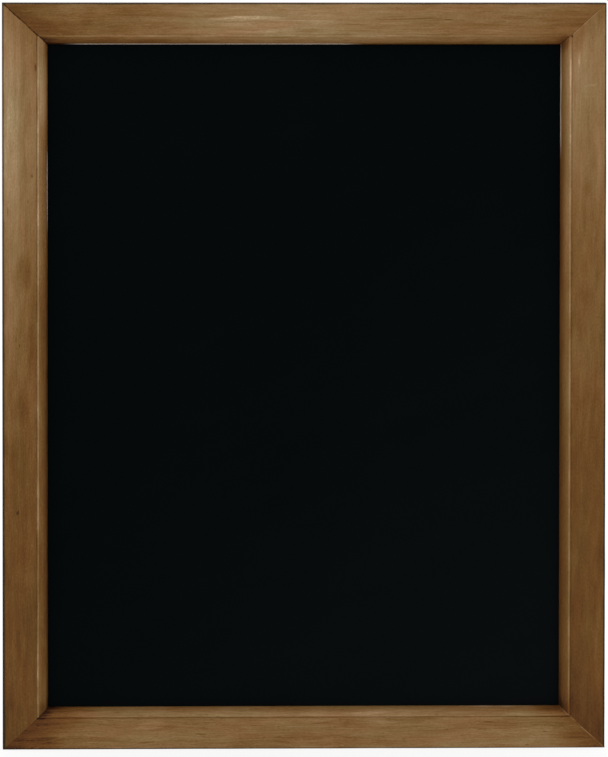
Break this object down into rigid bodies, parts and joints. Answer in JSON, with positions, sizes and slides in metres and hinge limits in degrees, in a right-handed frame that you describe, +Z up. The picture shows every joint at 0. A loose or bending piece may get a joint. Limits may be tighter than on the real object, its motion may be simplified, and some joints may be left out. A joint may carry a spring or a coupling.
{
  "type": "slate writing board",
  "caption": "Upright slate writing board in a mitred wooden moulding, with a backing board, turn buttons, D-ring hangers and rubber wall bumpers behind.",
  "frame": {"origin": "middle of the frame's bottom edge, half way through the moulding's depth", "axes": "+X to the right seen from the front, +Y from the writing face to the back, +Z up"},
  "size_m": [0.4, 0.024, 0.495],
  "materials": {
    "stained_wood": "satin stain",
    "slate": "matt",
    "hardboard": "matt",
    "nail_steel": "bare",
    "nickel_steel": "nickel",
    "ring_steel": "bright nickel",
    "screw_steel": "zinc",
    "bumper_rubber": "matt"
  },
  "bodies": {
    "board": {"frame_left_stile": "stained_wood", "frame_right_stile": "stained_wood", "frame_top_rail": "stained_wood", "frame_bottom_rail": "stained_wood", "corner_v_nails_top_left": "nail_steel", "corner_v_nails_top_right": "nail_steel", "corner_v_nails_bottom_left": "nail_steel", "corner_v_nails_bottom_right": "nail_steel", "slate_panel": "slate", "backing_board": "hardboard", "turn_button_screws": "screw_steel", "hanger_screws": "screw_steel", "hanger_strap_left": "nickel_steel", "wall_bumper_left": "bumper_rubber", "hanger_strap_right": "nickel_steel", "wall_bumper_right": "bumper_rubber"},
    "turn_button_left_lower": {"turn_button_left_lower": "nickel_steel"},
    "turn_button_left_upper": {"turn_button_left_upper": "nickel_steel"},
    "turn_button_right_lower": {"turn_button_right_lower": "nickel_steel"},
    "turn_button_right_upper": {"turn_button_right_upper": "nickel_steel"},
    "turn_button_top_left": {"turn_button_top_left": "nickel_steel"},
    "turn_button_top_right": {"turn_button_top_right": "nickel_steel"},
    "turn_button_bottom_left": {"turn_button_bottom_left": "nickel_steel"},
    "turn_button_bottom_right": {"turn_button_bottom_right": "nickel_steel"},
    "hanger_ring_left": {"hanger_ring_left": "ring_steel"},
    "hanger_ring_right": {"hanger_ring_right": "ring_steel"}
  },
  "joints": [
    {"name": "turn_button_left_lower_turn", "type": "hinge", "parent": "board", "child": "turn_button_left_lower", "pos_m": [-0.1845, 0.0091, 0.095], "axis": [0, 1, 0], "continuous": true},
    {"name": "turn_button_left_upper_turn", "type": "hinge", "parent": "board", "child": "turn_button_left_upper", "pos_m": [-0.1845, 0.0091, 0.4], "axis": [0, 1, 0], "continuous": true},
    {"name": "turn_button_right_lower_turn", "type": "hinge", "parent": "board", "child": "turn_button_right_lower", "pos_m": [0.1845, 0.0091, 0.095], "axis": [0, 1, 0], "continuous": true},
    {"name": "turn_button_right_upper_turn", "type": "hinge", "parent": "board", "child": "turn_button_right_upper", "pos_m": [0.1845, 0.0091, 0.4], "axis": [0, 1, 0], "continuous": true},
    {"name": "turn_button_top_left_turn", "type": "hinge", "parent": "board", "child": "turn_button_top_left", "pos_m": [-0.085, 0.0091, 0.4815], "axis": [0, 1, 0], "continuous": true},
    {"name": "turn_button_top_right_turn", "type": "hinge", "parent": "board", "child": "turn_button_top_right", "pos_m": [0.085, 0.0091, 0.4815], "axis": [0, 1, 0], "continuous": true},
    {"name": "turn_button_bottom_left_turn", "type": "hinge", "parent": "board", "child": "turn_button_bottom_left", "pos_m": [-0.085, 0.0091, 0.0135], "axis": [0, 1, 0], "continuous": true},
    {"name": "turn_button_bottom_right_turn", "type": "hinge", "parent": "board", "child": "turn_button_bottom_right", "pos_m": [0.085, 0.0091, 0.0135], "axis": [0, 1, 0], "continuous": true},
    {"name": "hanger_ring_left_swing", "type": "hinge", "parent": "board", "child": "hanger_ring_left", "pos_m": [-0.188, 0.0114, 0.345], "axis": [1, 0, 0], "range_deg": [0, 180]},
    {"name": "hanger_ring_right_swing", "type": "hinge", "parent": "board", "child": "hanger_ring_right", "pos_m": [0.188, 0.0114, 0.345], "axis": [1, 0, 0], "range_deg": [0, 180]}
  ]
}
